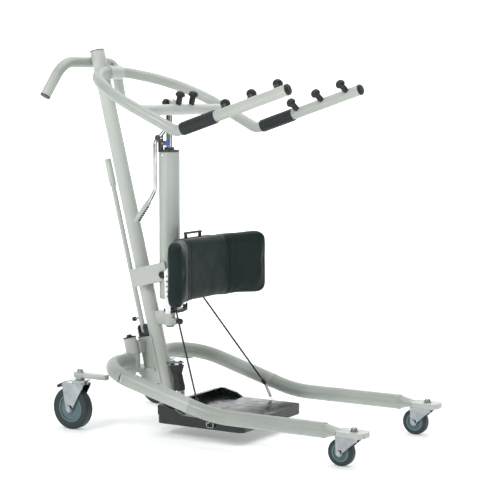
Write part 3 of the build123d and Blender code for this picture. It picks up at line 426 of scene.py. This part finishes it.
def make_knee_pad():
    middle_z = (pad_top + pad_bottom) / 2
    length = pad_half_length - pad_inset
    shape = bmesh.new()
    rings = []
    stations = [length * math.sin(math.pi / 2 * t) for t in np.linspace(-1, 1, 141)]
    for along in stations:
        centre, faces = pad_line(along)
        past = max(abs(along) - (length - pad_corner), 0.0) / pad_corner
        cut_off = pad_corner * (1 - math.sqrt(max(1 - past * past, 0.0)))
        height = (pad_top - pad_bottom) / 2 - pad_inset - cut_off
        past = max(abs(along) - (length - pad_round_end), 0.0) / pad_round_end
        thick = (pad_half_thick - pad_inset) * math.sqrt(max(1 - past * past, 0.01))
        ring = []
        for k in range(pad_ring_sides):
            angle = 2 * math.pi * k / pad_ring_sides
            c, sn = math.cos(angle), math.sin(angle)
            out = math.copysign(abs(c) ** 0.42, c) * thick
            high = math.copysign(abs(sn) ** 0.28, sn) * height
            if high < 0:
                high -= 0.004 * fold(along, 0.03) * (high / height) ** 4
            ring.append(shape.verts.new(centre + faces * out + Vector((0, 0, middle_z + high))))
        rings.append(ring)
    for first, second in zip(rings, rings[1:]):
        for k in range(pad_ring_sides):
            after = (k + 1) % pad_ring_sides
            shape.faces.new((first[k], second[k], second[after], first[after]))
    shape.faces.new(rings[0])
    shape.faces.new(rings[-1][::-1])
    bmesh.ops.recalc_face_normals(shape, faces=shape.faces)
    mesh = bpy.data.meshes.new("knee_cushion")
    shape.to_mesh(mesh)
    shape.free()
    pad = new_piece("knee_cushion", mesh, None, "pad_cover")
    bpy.context.view_layer.objects.active = pad
    remesh = pad.modifiers.new("remesh", "REMESH")
    remesh.mode = "VOXEL"
    remesh.voxel_size = 0.005
    bpy.ops.object.modifier_apply(modifier="remesh")
    before = np.zeros(len(pad.data.vertices) * 3)
    pad.data.vertices.foreach_get("co", before)
    before = before.reshape(-1, 3)
    cloth = pad.modifiers.new("cloth", "CLOTH")
    cloth.settings.use_pressure = True
    cloth.settings.uniform_pressure_force = 4.0
    cloth.settings.effector_weights.gravity = 0.0
    cloth.settings.quality = 5
    for step in range(1, 21):
        bpy.context.scene.frame_set(step)
    swollen = pad.evaluated_get(bpy.context.evaluated_depsgraph_get()).to_mesh()
    after = np.zeros(len(swollen.vertices) * 3)
    swollen.vertices.foreach_get("co", after)
    pad.modifiers.remove(cloth)
    move = after.reshape(-1, 3) - before
    size = np.linalg.norm(move, axis=1, keepdims=True)
    move *= np.minimum(1.0, pad_swell_limit / np.maximum(size, 1e-9))
    pad.data.vertices.foreach_set("co", (before + move).ravel())
    bpy.context.scene.frame_set(1)
    smooth = pad.modifiers.new("smooth", "SMOOTH")
    smooth.factor = 0.5
    smooth.iterations = 5
    bpy.ops.object.modifier_apply(modifier="smooth")
    divide = pad.modifiers.new("divide", "SUBSURF")
    divide.levels = 1
    bpy.ops.object.modifier_apply(modifier="divide")
    # sewn creases down the front at the folds, and shallow pulls beside them
    for vertex in pad.data.vertices:
        place = vertex.co
        across = abs(place.y)
        if place.x > pad_middle_x and across > 0.07:
            crease = 0.0032 * math.exp(-(((across - 0.112) / 0.0028) ** 2))
            crease += 0.0014 * math.exp(-(((across - 0.128) / 0.006) ** 2))
            crease += 0.0010 * math.exp(-(((across - 0.098) / 0.006) ** 2))
            place.x -= crease
    for polygon in pad.data.polygons:
        polygon.use_smooth = True
    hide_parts("knee_pad")
    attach(pad, "knee_rest")


make_knee_pad()


# ---- finger ribs on the underside of the pump handle's grip ----
rib_count = 7
rib_first = 0.16
rib_spacing = 0.11
rib_half_angle = 0.75


def rib_radius(share):
    """Nearly even along a rib, running out at both ends."""
    return 0.0027 * math.sqrt(max(1 - (2 * share - 1) ** 4, 0.04))


def make_finger_ribs():
    low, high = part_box("handle_grip")
    middle_y = (low.y + high.y) / 2
    thick = (high.y - low.y) / 2
    bottom = Vector((low.x + thick * 0.8, middle_y, low.z + thick * 0.5))
    top = Vector((high.x - thick * 0.8, middle_y, high.z - thick * 0.5))
    along = (top - bottom).normalized()
    outward = Vector((along.z, 0, -along.x))
    for k in range(rib_count):
        centre = bottom.lerp(top, rib_first + rib_spacing * k)
        arc = []
        for angle in np.linspace(-rib_half_angle, rib_half_angle, 11):
            way = outward * math.cos(angle) + Vector((0, 1, 0)) * math.sin(angle)
            arc.append(centre + way * (thick * 0.98))
        new_piece(f"finger_rib_{k + 1}", tube(arc, rib_radius, 10), "pump_lever", "grip_rubber")


make_finger_ribs()


# ---- small trim: caps on the pump bolt, a screw in the cylinder, the spring plunger's knob ----
pump_x = -0.228
pump_pin_z = 0.455
bolt_cap_start = 0.0405
bolt_cap_end = 0.0475
screw_start = (-0.2322, -0.0308, 0.811)
screw_end = (-0.2326, -0.0336, 0.811)
mast_foot_x = -0.2107
mast_lean = math.radians(14.04)
plunger_along = 0.334
plunger_start = -0.064
plunger_end = -0.0765
bolt_cap = [
    (0, 0.0095),
    (0.05, 0.0108),
    (0.55, 0.0108),
    (0.78, 0.0098),
    (0.9, 0.0086),
    (0.97, 0.0058),
    (1, 0.0052),
]
screw_head = [(0, 0.0046), (0.45, 0.0044), (0.8, 0.0034), (0.9, 0.0018), (1, 0.0016)]
plunger_shape = [(0, 0.0058), (0.1, 0.0066), (0.7, 0.0068), (0.88, 0.0060), (0.97, 0.0040), (1, 0.0030)]


def turned(name, start, end, profile, body, slot):
    """A turned piece along an axis: profile is pairs of a share of the length and a radius."""
    start, end = Vector(start), Vector(end)
    shares, sizes = zip(*profile)
    stations = [start.lerp(end, share) for share in shares]
    steps = len(shares) - 1
    return new_piece(name, tube(stations, lambda t: sizes[round(t * steps)], 28), body, slot)


def by_mast(forward, along):
    """A point in the middle plane, forward of the mast's centre line and along it from the floor."""
    x = mast_foot_x + forward * math.cos(mast_lean) - along * math.sin(mast_lean)
    return (x, 0.0, forward * math.sin(mast_lean) + along * math.cos(mast_lean))


for side in (1, -1):
    turned(
        f"pump_bolt_cap_{'left' if side > 0 else 'right'}",
        (pump_x, side * bolt_cap_start, pump_pin_z),
        (pump_x, side * bolt_cap_end, pump_pin_z),
        bolt_cap,
        "base",
        "black_plastic",
    )
turned("cylinder_screw", screw_start, screw_end, screw_head, "base", "chrome_plate")
turned(
    "plunger_knob",
    by_mast(plunger_start, plunger_along),
    by_mast(plunger_end, plunger_along),
    plunger_shape,
    "shift_lever",
    "black_plastic",
)


# ---- stage: a pale floor that curves up into a backdrop, well behind the lift ----
floor_near = -18.0
floor_far = 9.0
sweep_radius = 3.0
sweep_steps = 16
wall_height = 14.0
stage_half_width = 18.0
stage_strips = 8


def make_stage():
    rows = []
    for k in range(stage_strips + 1):
        rows.append((floor_near + (floor_far - floor_near) * k / stage_strips, 0.0))
    for k in range(1, sweep_steps + 1):
        angle = math.pi / 2 * k / sweep_steps
        rows.append((floor_far + sweep_radius * math.sin(angle), sweep_radius * (1 - math.cos(angle))))
    rows.append((floor_far + sweep_radius, wall_height))
    into = -Vector((back.x, back.y, 0)).normalized()
    shape = bmesh.new()
    strips = []
    for distance, height in rows:
        strip = []
        for k in range(stage_strips + 1):
            across = stage_half_width * (2 * k / stage_strips - 1)
            place = into * distance + right * across
            strip.append(shape.verts.new((place.x, place.y, height)))
        strips.append(strip)
    for first, second in zip(strips, strips[1:]):
        for k in range(stage_strips):
            shape.faces.new((first[k], first[k + 1], second[k + 1], second[k]))
    mesh = bpy.data.meshes.new("backdrop")
    shape.to_mesh(mesh)
    shape.free()
    for polygon in mesh.polygons:
        polygon.use_smooth = True
    backdrop = bpy.data.objects.new("backdrop", mesh)
    bpy.context.scene.collection.objects.link(backdrop)
    m = Nodes("paper")
    paper = m.between(m.noise(3.0, 3.0), (0.93, 0.93, 0.935), (0.96, 0.96, 0.96))
    m.link(paper, m.shader.inputs["Base Color"])
    m.set("Roughness", 0.85)
    m.set("Specular IOR Level", 0.1)
    m.set("Emission Color", (0.97, 0.985, 1.0, 1.0))
    # the paper glows a little under the lift, so shadows show, and more further off
    away = m.add("ShaderNodeVectorMath", operation="LENGTH")
    m.link(m.place, away.inputs[0])
    glow = m.spread(away.outputs["Value"], 1.6, 4.5, 0.30, 0.95)
    m.link(glow, m.shader.inputs["Emission Strength"])
    mesh.materials.append(m.material)


make_stage()

# ---- soft studio light: a sky dark at the horizon and white overhead, and three area lights ----
sky_strength = 0.34
world = bpy.data.worlds.new("studio")
world.use_nodes = True
sky = world.node_tree.nodes
ray = sky.new("ShaderNodeTexCoord")
split = sky.new("ShaderNodeSeparateXYZ")
ramp = sky.new("ShaderNodeValToRGB")
ramp.color_ramp.elements[0].position = 0.02
ramp.color_ramp.elements[0].color = (0.07, 0.075, 0.08, 1.0)
ramp.color_ramp.elements[1].position = 0.75
ramp.color_ramp.elements[1].color = (1.0, 1.0, 1.0, 1.0)
world.node_tree.links.new(ray.outputs["Generated"], split.inputs["Vector"])
world.node_tree.links.new(split.outputs["Z"], ramp.inputs["Fac"])
world.node_tree.links.new(ramp.outputs["Color"], sky["Background"].inputs["Color"])
sky["Background"].inputs["Strength"].default_value = sky_strength
bpy.context.scene.world = world
bpy.context.scene.view_settings.view_transform = "Standard"


def area_light(name, place, target, size, power, colour=(1.0, 1.0, 1.0)):
    """A rectangular light that faces a target."""
    data = bpy.data.lights.new(name, "AREA")
    data.shape = "RECTANGLE"
    data.size, data.size_y = size
    data.energy = power
    data.color = colour
    light = bpy.data.objects.new(name, data)
    light.location = place
    light.rotation_euler = (Vector(target) - Vector(place)).to_track_quat("-Z", "Y").to_euler()
    bpy.context.scene.collection.objects.link(light)


centre = (0.0, 0.0, 0.6)
area_light("key", (-0.7, -3.7, 3.1), centre, (1.5, 1.5), 92.0)
area_light("fill", (3.6, -0.6, 1.6), centre, (1.4, 2.2), 12.0)
area_light("top", (0.3, 0.6, 3.4), centre, (2.6, 2.6), 52.0, (0.97, 0.985, 1.0))
